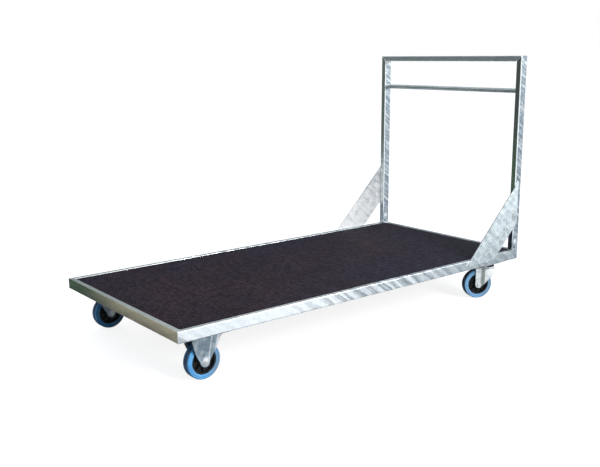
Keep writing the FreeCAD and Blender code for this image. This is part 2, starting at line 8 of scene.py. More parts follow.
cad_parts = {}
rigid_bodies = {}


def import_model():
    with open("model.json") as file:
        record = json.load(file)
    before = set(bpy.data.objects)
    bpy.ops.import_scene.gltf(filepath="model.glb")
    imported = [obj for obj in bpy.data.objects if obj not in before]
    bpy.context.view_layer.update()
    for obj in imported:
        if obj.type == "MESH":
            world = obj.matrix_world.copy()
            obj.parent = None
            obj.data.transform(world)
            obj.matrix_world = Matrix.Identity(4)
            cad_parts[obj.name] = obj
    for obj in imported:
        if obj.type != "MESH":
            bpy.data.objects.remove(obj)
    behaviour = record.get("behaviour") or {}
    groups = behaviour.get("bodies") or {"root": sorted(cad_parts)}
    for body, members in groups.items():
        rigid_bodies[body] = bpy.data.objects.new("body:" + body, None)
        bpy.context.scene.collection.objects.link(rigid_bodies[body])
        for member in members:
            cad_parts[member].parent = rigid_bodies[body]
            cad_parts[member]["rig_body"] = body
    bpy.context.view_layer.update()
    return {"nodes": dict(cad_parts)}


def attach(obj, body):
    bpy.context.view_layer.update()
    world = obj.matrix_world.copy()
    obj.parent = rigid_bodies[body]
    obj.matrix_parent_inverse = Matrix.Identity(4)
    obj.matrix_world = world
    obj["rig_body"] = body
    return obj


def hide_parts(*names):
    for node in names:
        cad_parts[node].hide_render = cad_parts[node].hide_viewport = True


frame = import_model()

# Sizes in metres, the same as in the construction model
HALF_LENGTH = 1.085
HALF_WIDTH = 0.520
TUBE_DEPTH = 0.050
TUBE_WIDTH = 0.025
TUBE_WALL = 0.002
RAIL_LOW = 0.210
RAIL_TOP = 0.260
HANDLE_TOP = 1.313
HANDLE_WIDTH = 0.030
PUSH_BAR_Z = 1.129
PUSH_BAR_RADIUS = 0.0125
UPRIGHT_X = HALF_LENGTH - TUBE_DEPTH / 2
UPRIGHT_FRONT = HALF_LENGTH - TUBE_DEPTH
INNER_Y = HALF_WIDTH - TUBE_WIDTH
HANDLE_INNER = HALF_WIDTH - HANDLE_WIDTH
VENT = Vector((UPRIGHT_X - 0.006, 0.0, RAIL_TOP + 0.017))
ALONG_SIDE = (1.0, 0.0, 1.0)  # leaves out Y, so that both sides show the same
# Corners of a gusset's welded ends, along X and Z
GUSSET_HEEL = (0.6760, 0.2590)
GUSSET_LOW_TIP = ((0.6520, 0.2370), (0.6540, 0.2345), (0.8760, 0.2345))
GUSSET_HIGH_TIP = ((1.0370, 0.6220), (1.0575, 0.6440), (1.0605, 0.6410), (1.0605, 0.4200))
CASTER = Vector((0.925, 0.432))
BEARERS = (-1.010, -0.840, -0.280, 0.280, 0.840, 1.010)
PAD_HALF = Vector((0.100, 0.065))
WHEEL_RADIUS = 0.080
TRAIL = 0.050
SWIVEL_TURN = {"left": math.radians(-26), "right": math.radians(-20)}
SIDES = (("left", -1), ("right", 1))


def srgb(red, green, blue):
    """Screen colour from 0 to 255 as linear RGBA."""
    def linear(value):
        value /= 255
        return value / 12.92 if value <= 0.04045 else ((value + 0.055) / 1.055) ** 2.4
    return (linear(red), linear(green), linear(blue), 1.0)


class Graph:
    """Short way to write a node tree: every input takes a plain value or another node's output."""

    def __init__(self, tree):
        self.tree = tree

    def feed(self, socket, value):
        if isinstance(value, bpy.types.NodeSocket):
            self.tree.links.new(value, socket)
        else:
            socket.default_value = value

    def node(self, kind, inputs=None, **settings):
        item = self.tree.nodes.new(kind)
        for name, value in settings.items():
            setattr(item, name, value)
        for key, value in (inputs or {}).items():
            self.feed(item.inputs[key], value)
        return item

    def math(self, operation, *values):
        return self.node("ShaderNodeMath", dict(enumerate(values)), operation=operation).outputs[0]

    def product(self, first, *others):
        for value in others:
            first = self.math("MULTIPLY", first, value)
        return first

    def vector_math(self, operation, first, second):
        return self.node("ShaderNodeVectorMath", {0: first, 1: second}, operation=operation).outputs

    def dot(self, vector, direction):
        return self.vector_math("DOT_PRODUCT", vector, direction)["Value"]

    def distance(self, vector, spot):
        return self.vector_math("DISTANCE", vector, spot)["Value"]

    def scaled(self, vector, factors):
        return self.vector_math("MULTIPLY", vector, factors)[0]

    def axes(self, vector):
        """The vector's X, Y and Z."""
        return tuple(self.node("ShaderNodeSeparateXYZ", {0: vector}).outputs)

    def normal_axes(self):
        """X, Y and Z of the direction that the surface faces."""
        return self.axes(self.node("ShaderNodeNewGeometry").outputs["Normal"])

    def attribute(self, name):
        return self.node("ShaderNodeAttribute", attribute_name=name).outputs["Fac"]

    def noise(self, vector, scale, detail=3.0, rough=0.5, distortion=0.0):
        inputs = {"Vector": vector, "Scale": scale, "Detail": detail, "Roughness": rough}
        return self.node("ShaderNodeTexNoise", {**inputs, "Distortion": distortion}).outputs[0]

    def noise_line(self, position, scale, detail=2.0, rough=0.5):
        inputs = {"W": position, "Scale": scale, "Detail": detail, "Roughness": rough}
        return self.node("ShaderNodeTexNoise", inputs, noise_dimensions="1D").outputs[0]

    def cells(self, vector, scale):
        """One random value from 0 to 1 for each crystal-like cell."""
        item = self.node("ShaderNodeTexVoronoi", {"Vector": vector, "Scale": scale})
        return self.node("ShaderNodeSeparateColor", {0: item.outputs["Color"]}).outputs[0]

    def span(self, value, low, high, to_low=0.0, to_high=1.0):
        inputs = {"Value": value, "From Min": low, "From Max": high, "To Min": to_low, "To Max": to_high}
        return self.node("ShaderNodeMapRange", inputs, interpolation_type="SMOOTHSTEP").outputs[0]

    def mix(self, factor, first, second):
        item = self.node("ShaderNodeMix", data_type="RGBA")
        for index, value in ((0, factor), (6, first), (7, second)):
            self.feed(item.inputs[index], value)
        return item.outputs[2]

    def bump(self, height, strength, distance):
        inputs = {"Height": height, "Strength": strength, "Distance": distance}
        return self.node("ShaderNodeBump", inputs).outputs[0]

    def object_coords(self):
        return self.node("ShaderNodeTexCoord").outputs["Object"]

    def group(self, tree, **inputs):
        item = self.node("ShaderNodeGroup", node_tree=tree)
        for name, value in inputs.items():
            self.feed(item.inputs[name], value)
        return item.outputs


def shader_group(name, inputs, outputs):
    """New shader group with float inputs (name to default) and float outputs."""
    tree = bpy.data.node_groups.new(name, "ShaderNodeTree")
    for label, value in inputs.items():
        socket = tree.interface.new_socket(label, in_out="INPUT", socket_type="NodeSocketFloat")
        socket.default_value = value
    for label in outputs:
        tree.interface.new_socket(label, in_out="OUTPUT", socket_type="NodeSocketFloat")
    graph = Graph(tree)
    start = graph.node("NodeGroupInput").outputs
    end = graph.node("NodeGroupOutput").inputs
    return tree, graph, start, end


# Way in which the zinc drains off, and so across its bands
DRAINAGE = (0.57, 0.20, 0.80)


def zinc_group():
    """Hot-dip zinc: parallel drainage bands, crystal spangle and cloudy mottling, as a tone from 0 to 1."""
    amounts = {"Bands": 1.0, "Fine": 0.3, "Spangle": 0.3, "Mottle": 0.4, "Level": 0.5}
    tree, g, start, end = shader_group("HotDipZinc", amounts, ("Tone", "Height"))
    coords = g.object_coords()
    band_pitch = 0.043
    wander = g.math("MULTIPLY", g.noise(coords, 9.0), 0.030)
    along = g.math("ADD", g.dot(coords, DRAINAGE), wander)
    shift = g.math("MULTIPLY", g.noise_line(along, 8.0, 1.0), 9.0)
    swell = g.math("SINE", g.math("MULTIPLY_ADD", along, 2 * math.pi / band_pitch, shift))
    broad = g.span(swell, -0.55, 0.65)
    narrow = g.span(g.noise_line(along, 58.0, 2.0, 0.6), 0.40, 0.60)
    bands = g.math("MULTIPLY_ADD", g.math("SUBTRACT", narrow, broad), start["Fine"], broad)
    crystals = g.math("SUBTRACT", g.cells(coords, 110.0), 0.5)
    clouds = g.math("SUBTRACT", g.noise(coords, 19.0, 4.0, 0.55, 1.2), 0.5)
    tone = g.math("MULTIPLY_ADD", g.math("SUBTRACT", bands, 0.5), start["Bands"], start["Level"])
    tone = g.math("MULTIPLY_ADD", crystals, start["Spangle"], tone)
    tone = g.math("MULTIPLY_ADD", clouds, start["Mottle"], tone)
    g.feed(end["Tone"], g.math("MINIMUM", g.math("MAXIMUM", tone, 0.0), 1.0))
    grain = g.noise(coords, 420.0, 2.0)
    g.feed(end["Height"], g.math("ADD", g.math("MULTIPLY", tone, 0.6), g.math("MULTIPLY", grain, 0.25)))
    return tree


def scratch_group():
    """Fine scratches in two crossing directions, from 0 (none) to 1."""
    tree, g, start, end = shader_group("FineScratches", {"Amount": 0.5}, ("Scratch",))
    coords = g.object_coords()
    first = g.noise(g.scaled(coords, (18.0, 260.0, 190.0)), 2.2, 2.0, 0.7)
    second = g.noise(g.scaled(coords, (240.0, 22.0, 150.0)), 2.6, 2.0, 0.7)
    both = g.math("MAXIMUM", g.span(first, 0.64, 0.72), g.span(second, 0.66, 0.74))
    g.feed(end["Scratch"], g.math("MULTIPLY", both, start["Amount"]))
    return tree


def grime_group():
    """Road dust that thins out upwards from the floor, broken up by noise."""
    tree, g, start, end = shader_group("RoadDust", {"Top": 0.2, "Amount": 0.5}, ("Dust",))
    coords = g.object_coords()
    height = g.axes(coords)[2]
    low = g.math("SUBTRACT", 1.0, g.math("DIVIDE", height, start["Top"]))
    patches = g.span(g.noise(coords, 38.0, 5.0, 0.6), 0.34, 0.70)
    dust = g.math("MULTIPLY", g.math("MAXIMUM", low, 0.0), patches)
    g.feed(end["Dust"], g.math("MULTIPLY", dust, start["Amount"]))
    return tree


ZINC = zinc_group()
SCRATCHES = scratch_group()
DUST = grime_group()


def new_material(name):
    """Material with a surface shader; returns it, its graph and the shader's inputs."""
    material = bpy.data.materials.new(name)
    material.use_nodes = True
    shader = material.node_tree.nodes["Principled BSDF"]
    return material, Graph(material.node_tree), shader.inputs


def rail_tones(g, coords, tones):
    """Coat of the deck frame: plain and pale at the front end, banded in the middle and grey at the rear,
    with a darker patch at the near front corner and painted shade along the lower edge.
    """
    place, _, height = g.axes(coords)
    rising, falling = g.span(place, -0.70, -0.15, 0.15, 1.0), g.span(place, 0.10, 0.55, 1.0, 0.35)
    corner = g.span(g.dot(coords, DRAINAGE), -0.533, -0.521, 0.35, 1.0)
    # Painted shade along the rails' rounded lower edge.
    lower_edge_shade = g.span(height, RAIL_LOW + 0.0025, RAIL_LOW + 0.0045, 0.30, 1.0)
    sides = g.span(place, 0.0004 - HALF_LENGTH, 0.0014 - HALF_LENGTH, 1.0, g.product(corner, lower_edge_shade))
    front, middle = g.span(place, -1.00, -0.60, 0.88, 1.0), g.span(place, -0.62, 0.02, 0.97, 0.45)
    level = g.product(front, middle, g.span(place, 0.02, 0.90, 1.0, 0.24), sides)
    return {**tones, "Bands": g.product(rising, falling, tones["Bands"]), "Level": level}


def upright_tones(g, coords, tones):
    """Coat of the uprights: plain and a little paler at the foot, and paler on the right side."""
    _, across, height = g.axes(coords)
    foot_low, foot_top = 0.26, 0.44
    paler = g.span(across, -0.2, 0.2, tones["Level"], tones["Level"] + 0.06)
    level = g.math("ADD", g.span(height, foot_low, foot_top, 0.07, 0.0), paler)
    bands = g.span(height, foot_low, foot_top, 0.25, tones["Bands"])
    mottle = g.span(height, foot_low, foot_top, 0.70, tones["Mottle"])
    return {**tones, "Level": level, "Bands": bands, "Mottle": mottle}


def upright_bright_marks(g, coords, tone):
    """Bright front face, a painted highlight along the front edges of the side faces and a pale patch above
    the vent.

    Returns the new tone and the share of the front face.
    """
    place, _, height = g.axes(coords)
    inner, outer = UPRIGHT_FRONT + 0.005, UPRIGHT_FRONT + 0.0005
    # Painted highlight along the front edges of the side faces, above the foot.
    edge = g.product(g.span(place, inner + 0.004, inner), g.span(place, outer, outer + 0.001),
                     g.span(height, 0.29, 0.37))
    front = g.span(place, outer, outer + 0.0007, 1.0, 0.0)
    bright = g.product(front, g.span(height, 0.36, 0.42, 0.0, 0.9))
    reach = g.distance(g.scaled(coords, ALONG_SIDE), tuple(VENT + Vector((0.004, 0.0, 0.034))))
    for lighter in (edge, bright, g.span(reach, 0.002, 0.024, 0.8, 0.0)):
        tone = g.math("MAXIMUM", tone, lighter)
    return tone, front


def shaded_vent(g, coords, colour):
    """Painted shade: a dark ring round the vent and a dark bore behind it; returns the new colour and the
    share of the bore.
    """
    place, across, _ = g.axes(coords)
    reach = g.distance(g.scaled(coords, ALONG_SIDE), tuple(VENT))
    # Painted shade: a dark ring round the vent.
    colour = g.mix(g.span(reach, 0.0050, 0.0080, 0.8, 0.0), colour, srgb(84, 92, 88))
    bore_depth, bore_width = TUBE_DEPTH / 2 - TUBE_WALL, HANDLE_WIDTH / 2 - TUBE_WALL
    off_x = g.math("ABSOLUTE", g.math("SUBTRACT", place, UPRIGHT_X))
    off_y = g.math("SUBTRACT", g.math("ABSOLUTE", across), HALF_WIDTH - HANDLE_WIDTH / 2)
    # Painted shade: the bore behind the vent is dark, and galvanised makes it not metallic.
    bore_shade = g.product(g.span(off_x, bore_depth + 0.0002, bore_depth + 0.0008, 1.0, 0.0),
                     g.span(g.math("ABSOLUTE", off_y), bore_width + 0.0002, bore_width + 0.0008, 1.0, 0.0))
    return g.mix(bore_shade, colour, srgb(30, 32, 34)), bore_shade


def galvanised(name, tones, dark, light, metallic, rough, kind="plain", height_tone=None, edge_shade=None):
    """Hot-dip zinc, of a plain, rail or upright kind.

    height_tone gives two heights and the coat's tone at each, edge_shade the colour of painted shade on a
    plate's edge faces.
    """
    material, g, surface = new_material(name)
    coords = g.object_coords()
    if kind == "rail":
        tones = rail_tones(g, coords, tones)
    elif kind == "upright":
        tones = upright_tones(g, coords, tones)
    elif height_tone:
        tones = {**tones, "Level": g.span(g.axes(coords)[2], *height_tone)}
    zinc = g.group(ZINC, **tones)
    tone, front = zinc["Tone"], None
    if kind == "upright":
        tone, front = upright_bright_marks(g, coords, tone)
    sheen = g.span(tone, 0.0, 1.0, rough + 0.14, rough)
    scratch = g.group(SCRATCHES, Amount=0.25)["Scratch"]
    colour = g.mix(scratch, g.mix(tone, dark, light), light)
    if kind == "upright":
        # Painted shade in and round the vent.
        colour, bore_shade = shaded_vent(g, coords, colour)
        metallic = g.span(bore_shade, 0.0, 1.0, metallic, 0.0)
        sheen = g.product(sheen, g.span(front, 0.0, 1.0, 1.0, 0.5))
    # Painted shade on the faces that don't face along Y, the plates' edges.
    if edge_shade:
        colour = g.mix(g.span(g.math("ABSOLUTE", g.normal_axes()[1]), 0.75, 0.35), colour, edge_shade)
    g.feed(surface["Base Color"], colour)
    g.feed(surface["Metallic"], metallic)
    g.feed(surface["Roughness"], sheen)
    g.feed(surface["Normal"], g.bump(zinc["Height"], 0.30, 0.0006))
    return material


def plated(name, dark, light, rough, metallic, straw=0.5):
    """Bright zinc plating with a slight blue and straw tint, with a painted highlight where fold_glint is
    set and painted shade where crease_shade is set.
    """
    material, g, surface = new_material(name)
    coords = g.object_coords()
    cloud = g.noise(coords, 30.0, 4.0, 0.6, 0.4)
    dust = g.group(DUST, Top=0.26, Amount=0.35)["Dust"]
    scratch = g.group(SCRATCHES, Amount=0.4)["Scratch"]
    colour = g.mix(g.span(cloud, 0.3, 0.7), dark, light)
    colour = g.mix(g.span(g.noise(coords, 75.0), 0.56, 0.72, 0.0, straw), colour, srgb(205, 200, 176))
    colour = g.mix(dust, colour, srgb(120, 112, 100))
    # Painted highlight where fold_glint is set.
    fold_glint = g.product(g.attribute("fold_glint"), g.span(cloud, 0.2, 0.6, 0.7, 1.0))
    colour = g.mix(fold_glint, colour, srgb(244, 247, 252))
    # Painted shade where crease_shade is set.
    crease_shade = g.product(g.attribute("crease_shade"), g.span(cloud, 0.2, 0.7, 1.0, 0.7))
    colour = g.mix(crease_shade, colour, srgb(140, 152, 146))
    g.feed(surface["Base Color"], colour)
    g.feed(surface["Metallic"], metallic)
    sheen = g.span(cloud, 0.2, 0.8, rough, rough + 0.16)
    g.feed(surface["Roughness"], g.math("MULTIPLY_ADD", scratch, 0.15, sheen))
    g.feed(surface["Normal"], g.bump(g.noise(coords, 260.0), 0.12, 0.0004))
    return material


def deck_film():
    """Phenolic film with the imprint of a wire mesh on top, smooth below, layered at the cut edges."""
    material, g, surface = new_material("deck_film")
    coords = g.object_coords()
    facing = g.normal_axes()[2]
    top = g.span(facing, 0.5, 0.9)
    edge = g.math("SUBTRACT", 1.0, g.span(g.math("ABSOLUTE", facing), 0.2, 0.6))
    mesh_length, mesh_width, ply = 0.0145, 0.035, 0.0016
    pit = srgb(24, 19, 24)
    along, across = math.pi / mesh_length, math.pi / mesh_width
    first = g.math("ABSOLUTE", g.math("SINE", g.dot(coords, (along, across, 0.0))))
    second = g.math("ABSOLUTE", g.math("SINE", g.dot(coords, (along, -across, 0.0))))
    dots = g.span(g.math("MULTIPLY", first, second), 0.20, 0.70)
    mesh = g.math("MULTIPLY", g.math("SUBTRACT", 1.0, dots), top)
    broad = g.noise(coords, 3.2, 4.0, 0.6)
    fine = g.noise(coords, 46.0, 4.0, 0.6)
    grain = g.noise(g.scaled(coords, (1.0, 0.40, 1.0)), 84.0, 2.0, 0.6)
    colour = g.mix(g.span(broad, 0.35, 0.65), srgb(53, 46, 57), srgb(68, 52, 60))
    colour = g.mix(g.span(g.noise(coords, 1.4), 0.4, 0.62), colour, srgb(51, 51, 66))
    colour = g.mix(g.span(fine, 0.50, 0.72, 0.0, 0.6), colour, srgb(80, 70, 78))
    colour = g.mix(g.span(grain, 0.40, 0.60, 0.3, 0.9), pit, colour)
    # Darker in the pits of the mesh imprint: painted shade in the recesses.
    colour = g.mix(g.math("MULTIPLY", mesh, 0.56), colour, pit)
    layers = g.span(g.math("SINE", g.dot(coords, (0.0, 0.0, math.pi / ply))), -0.4, 0.4)
    cut_edge = g.mix(layers, srgb(92, 62, 40), srgb(150, 112, 74))
    g.feed(surface["Base Color"], g.mix(edge, colour, cut_edge))
    scratch = g.group(SCRATCHES, Amount=0.5)["Scratch"]
    sheen = g.span(fine, 0.2, 0.8, 0.62, 0.82)
    g.feed(surface["Roughness"], g.math("MULTIPLY_ADD", scratch, -0.1, sheen))
    g.feed(surface["Specular IOR Level"], 0.06)
    g.feed(surface["Normal"], g.bump(mesh, 0.8, 0.0006))
    return material


def tyre_rubber():
    """Light blue rubber, paler at the rear, with a dark band on the tread and painted shade, a greyer tone,
    over one side of each tyre.
    """
    material, g, surface = new_material("tyre_rubber")
    coords = g.object_coords()
    place = g.axes(coords)[0]
    cloud = g.noise(coords, 26.0, 4.0, 0.6)
    side_shade = g.product(g.attribute("side_shade"), g.span(cloud, 0.2, 0.7, 1.0, 0.7))
    tread = g.product(g.attribute("tread"), g.span(cloud, 0.2, 0.7, 0.8, 1.0))
    colour = g.mix(g.span(cloud, 0.3, 0.7), srgb(84, 166, 234), srgb(114, 190, 246))
    colour = g.mix(g.span(place, 0.4, 0.7, 0.0, 0.45), colour, srgb(164, 198, 224))
    # Painted shade, a greyer tone over one side of the tyre.
    colour = g.mix(side_shade, colour, srgb(124, 156, 182))
    colour = g.mix(tread, colour, srgb(84, 100, 132))
    dust = g.group(DUST, Top=0.16, Amount=0.18)["Dust"]
    colour = g.mix(dust, colour, srgb(150, 145, 136))
    g.feed(surface["Base Color"], colour)
    g.feed(surface["Roughness"], g.span(cloud, 0.2, 0.8, 0.46, 0.62))
    g.feed(surface["Specular IOR Level"], 0.3)
    g.feed(surface["Normal"], g.bump(g.noise(coords, 300.0), 0.15, 0.0004))
    return material


def moulded(name, colour, light, rough):
    """Dark moulded plastic with a faint grain and dust."""
    material, g, surface = new_material(name)
    coords = g.object_coords()
    cloud = g.noise(coords, 40.0, 4.0)
    dust = g.group(DUST, Top=0.20, Amount=0.08)["Dust"]
    clean = g.mix(g.span(cloud, 0.35, 0.7), colour, light)
    g.feed(surface["Base Color"], g.mix(dust, clean, srgb(96, 90, 84)))
    g.feed(surface["Roughness"], g.span(cloud, 0.2, 0.8, rough, rough + 0.15))
    g.feed(surface["Specular IOR Level"], 0.3)
    g.feed(surface["Normal"], g.bump(g.noise(coords, 500.0, 2.0), 0.2, 0.0003))
    return material


TUBE_TONES = {"Bands": 0.85, "Fine": 0.40, "Spangle": 0.14, "Mottle": 0.34}
UPRIGHT_TONES = {"Bands": 0.75, "Fine": 0.60, "Spangle": 0.24, "Mottle": 1.10, "Level": 0.08}
HANDLE_TONES = {"Bands": 0.15, "Fine": 0.50, "Spangle": 0.16, "Mottle": 0.40}
PLATE_TONES = {"Bands": 0.25, "Fine": 0.40, "Spangle": 0.26, "Mottle": 1.70}
PAD_TONES = {"Bands": 0.20, "Fine": 0.40, "Spangle": 0.26, "Mottle": 1.20, "Level": 0.55}
WELD_TONES = {"Bands": 0.20, "Fine": 0.50, "Spangle": 0.20, "Mottle": 0.60, "Level": 0.75}
GREY_ZINC, PALE_ZINC = srgb(132, 146, 156), srgb(244, 249, 250)
PLATE_GREY, PLATE_PALE = srgb(126, 141, 147), srgb(234, 245, 248)
TUBE_ZINC = galvanised("galvanised_tube", TUBE_TONES, srgb(132, 143, 149), PALE_ZINC, 0.86, 0.30, "rail")
UPRIGHT_ZINC = galvanised("galvanised_upright", UPRIGHT_TONES, srgb(114, 127, 137), PALE_ZINC, 0.86, 0.30,
                          "upright")
HANDLE_ZINC = galvanised("galvanised_handle", HANDLE_TONES, srgb(140, 156, 158), srgb(236, 243, 244),
                         0.52, 0.32, height_tone=(1.20, 1.26, 0.45, 0.85))
# The two gussets are lit and shaded copies of one plate finish, with painted light and shade by height: the
# near plate darker towards the bottom, the far plate paler, matt and paler towards the bottom.
NEAR_PLATE = galvanised("galvanised_plate", PLATE_TONES, PLATE_GREY, PLATE_PALE, 0.10, 0.50,
                        height_tone=(0.28, 0.56, 0.55, 0.75), edge_shade=srgb(84, 88, 92))
FAR_PLATE = galvanised("galvanised_plate_painted_light", PLATE_TONES, srgb(160, 169, 173), srgb(254, 254, 254),
                       0.0, 0.62, height_tone=(0.26, 0.62, 1.00, 0.46), edge_shade=srgb(104, 104, 110))
PAD_ZINC = galvanised("galvanised_pad", PAD_TONES, PLATE_GREY, PLATE_PALE, 0.20, 0.46)
WELD_ZINC = galvanised("galvanised_weld", WELD_TONES, GREY_ZINC, PALE_ZINC, 0.55, 0.34)
# Painted highlight: near-white welds at the gussets' lower tips.
GLINT_WELD = galvanised("galvanised_weld_glint", WELD_TONES, srgb(222, 228, 231), srgb(253, 254, 254),
                        0.10, 0.40)
# The fork's plating and the brackets' are lit and shaded copies of one finish: the fork's paler as painted
# light, the brackets' darker as painted shade under the deck.
PLATED = plated("zinc_plated", srgb(210, 220, 224), srgb(248, 251, 252), 0.34, 0.55)
BRACKET = plated("zinc_plated_shaded", srgb(112, 134, 149), srgb(174, 194, 206), 0.34, 0.38, 0.15)
FASTENER = plated("zinc_fastener", srgb(180, 188, 190), srgb(236, 240, 240), 0.24, 0.70)
BEARING = plated("bearing_steel", srgb(120, 122, 126), srgb(160, 162, 166), 0.20, 0.90)
FILM = deck_film()
TYRE = tyre_rubber()
CORE = moulded("wheel_core", srgb(5, 9, 12), srgb(12, 18, 23), 0.42)
SEAL = moulded("seal_plastic", srgb(20, 19, 24), srgb(34, 32, 38), 0.45)

NODE_LOOKS = (
    (("long_rail", "front_rail", "rear_rail", "cross_bearer"), TUBE_ZINC),
    (("upright",), UPRIGHT_ZINC),
    (("top_bar", "push_bar"), HANDLE_ZINC),
    (("gusset_left",), NEAR_PLATE),
    (("gusset_right",), FAR_PLATE),
    (("caster_pad",), PAD_ZINC),
    (("fixed_bracket",), BRACKET),
    (("swivel_fork", "swivel_plate"), PLATED),
    (("axle_bolt", "axle_nut", "caster_bolts", "caster_nuts", "caster_washers", "deck_screws", "king_pin"),
     FASTENER),
    (("bearing_rollers", "axle_sleeve", "swivel_balls"), BEARING),
    (("deck_board",), FILM),
    (("tyre",), TYRE),
    (("wheel_core",), CORE),
    (("swivel_seal",), SEAL),
)


def look_of(node):
    return next(material for starts, material in NODE_LOOKS if node.startswith(starts))


def body_of(node):
    return frame["nodes"][node]["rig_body"]


for name, item in frame["nodes"].items():
    item.data.materials.clear()
    item.data.materials.append(look_of(name))


def finish_mesh(work, name, material, sharp=35):
    mesh = bpy.data.meshes.new(name)
    work.to_mesh(mesh)
    work.free()
    stale = mesh.attributes.get("custom_normal")
    if stale:
        mesh.attributes.remove(stale)
    mesh.materials.clear()
    mesh.materials.append(material)
    mesh.shade_smooth()
    mesh.set_sharp_from_angle(angle=math.radians(sharp))
    item = bpy.data.objects.new(name, mesh)
    bpy.context.scene.collection.objects.link(item)
    return item


def mark(item, name, amount):
    """Store amount(place), from 0 to 1, on every point of the mesh."""
    values = [amount(point.co) for point in item.data.vertices]
    item.data.attributes.new(name, "FLOAT", "POINT").data.foreach_set("value", values)


def stand_for(item, *nodes):
    """The piece joins the body of these construction nodes and takes their place, hiding them."""
    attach(item, body_of(nodes[0]))
    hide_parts(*nodes)
    return item


def soften(node, width):
    """The node's own shape with its sharp edges rounded."""
    work = bmesh.new()
    work.from_mesh(frame["nodes"][node].data)
    bmesh.ops.remove_doubles(work, verts=work.verts, dist=2e-6)
    bmesh.ops.dissolve_limit(work, angle_limit=math.radians(0.5), verts=work.verts, edges=work.edges)
    edges = [edge for edge in work.edges if edge.is_manifold and edge.calc_face_angle() > math.radians(40)]
    bmesh.ops.bevel(work, geom=edges, offset=width, segments=2, profile=0.5, affect="EDGES",
                    clamp_overlap=True)
    return stand_for(finish_mesh(work, "soft_" + node, look_of(node)), node)


SOFT_WIDTHS = (
    (("gusset", "swivel_plate", "caster_pad"), 0.0010),
    (("axle_bolt", "axle_nut", "caster_bolts", "caster_nuts", "king_pin"), 0.0008),
    (("deck_screws", "caster_washers", "swivel_seal"), 0.0006),
)
for name in frame["nodes"]:
    for starts, width in SOFT_WIDTHS:
        if name.startswith(starts):
            soften(name, width)


# Wheels


def smooth(value, low, high):
    """0 below low, 1 above high, with a soft step between them."""
    part = min(max((value - low) / (high - low), 0.0), 1.0)
    return part * part * (3 - 2 * part)


def wheel_frame(end, side, sign):
    """Place and turn of a wheel: its axle lies along the local Y axis."""
    spot = Vector((CASTER.x if end == "rear" else -CASTER.x, sign * CASTER.y, WHEEL_RADIUS))
    turn = 0.0
    if end == "rear":
        turn = SWIVEL_TURN[side]
        spot -= Vector((math.cos(turn), math.sin(turn), 0)) * TRAIL
    return Matrix.Translation(spot) @ Matrix.Rotation(turn, 4, "Z")


def lathe(work, profile, steps=128):
    """Turn a closed profile of (radius, along axle) points about the Y axis."""
    rings = []
    for i in range(steps):
        angle = 2 * math.pi * i / steps
        rings.append([work.verts.new((r * math.cos(angle), a, r * math.sin(angle))) for r, a in profile])
    count = len(profile)
    for i, ring in enumerate(rings):
        following = rings[(i + 1) % steps]
        for j in range(count):
            k = (j + 1) % count
            work.faces.new((ring[j], following[j], following[k], ring[k]))


def mirrored(half):
    """Closed profile from its half on the +Y side, listed from the inside to the middle of the outside."""
    return half + [(r, -a) for r, a in reversed(half) if abs(a) > 1e-9]


TYRE_HALF = [(0.0582, 0.0198), (0.0588, 0.0207), (0.0600, 0.0212), (0.0640, 0.0215), (0.0700, 0.0214),
             (0.0704, 0.0210), (0.0708, 0.0214), (0.0745, 0.0213), (0.0765, 0.0209), (0.0782, 0.0199),
             (0.0792, 0.0184), (0.0797, 0.0160), (0.07985, 0.0130), (0.0799, 0.0100), (0.07995, 0.0070),
             (0.0800, 0.0035), (0.0800, 0.0)]
CORE_HALF = [(0.0162, 0.0222), (0.0172, 0.0230), (0.0225, 0.0230), (0.0238, 0.0222), (0.0244, 0.0170),
             (0.0254, 0.0090), (0.0275, 0.0066), (0.0310, 0.0060), (0.0440, 0.0060), (0.0475, 0.0066),
             (0.0496, 0.0095), (0.0508, 0.0165), (0.0514, 0.0179), (0.0528, 0.0185), (0.0566, 0.0185),
             (0.0578, 0.0176), (0.0580, 0.0160)]


def tread_band(v):
    """1 in the middle of the tread, 0 from the shoulders on."""
    return smooth(math.hypot(v.x, v.z), 0.0770, 0.0785) * (1 - smooth(abs(v.y), 0.006, 0.0165))


# Painted shade: greyer over the part of the tyre towards its local +X and lower down.
def shaded_side(v):
    return smooth(0.9 * v.x - 0.25 * v.z, 0.010, 0.060)


def tyre_piece(name, place):
    work = bmesh.new()
    lathe(work, mirrored(TYRE_HALF))
    item = finish_mesh(work, "rubber_tyre_" + name, TYRE, 60)
    mark(item, "tread", tread_band)
    mark(item, "side_shade", shaded_side)
    item.data.transform(place)
    stand_for(item, "tyre_" + name)


def slab(work, place, size):
    verts = bmesh.ops.create_cube(work, size=1.0)["verts"]
    bmesh.ops.transform(work, verts=verts, matrix=place @ Matrix.Diagonal((*size, 1)))


def core_piece(name, place):
    work = bmesh.new()
    lathe(work, mirrored(CORE_HALF))
    ribs, rib_radius, rib_size = 8, 0.0372, (0.0046, 0.0280, 0.0270)
    for i in range(ribs):
        turn = Matrix.Rotation(2 * math.pi / ribs * i, 4, "Y")
        slab(work, turn @ Matrix.Translation((0, 0, rib_radius)), rib_size)
    item = finish_mesh(work, "moulded_core_" + name, CORE, 40)
    item.data.transform(place)
    stand_for(item, "wheel_core_" + name)


# Pressed legs of the casters


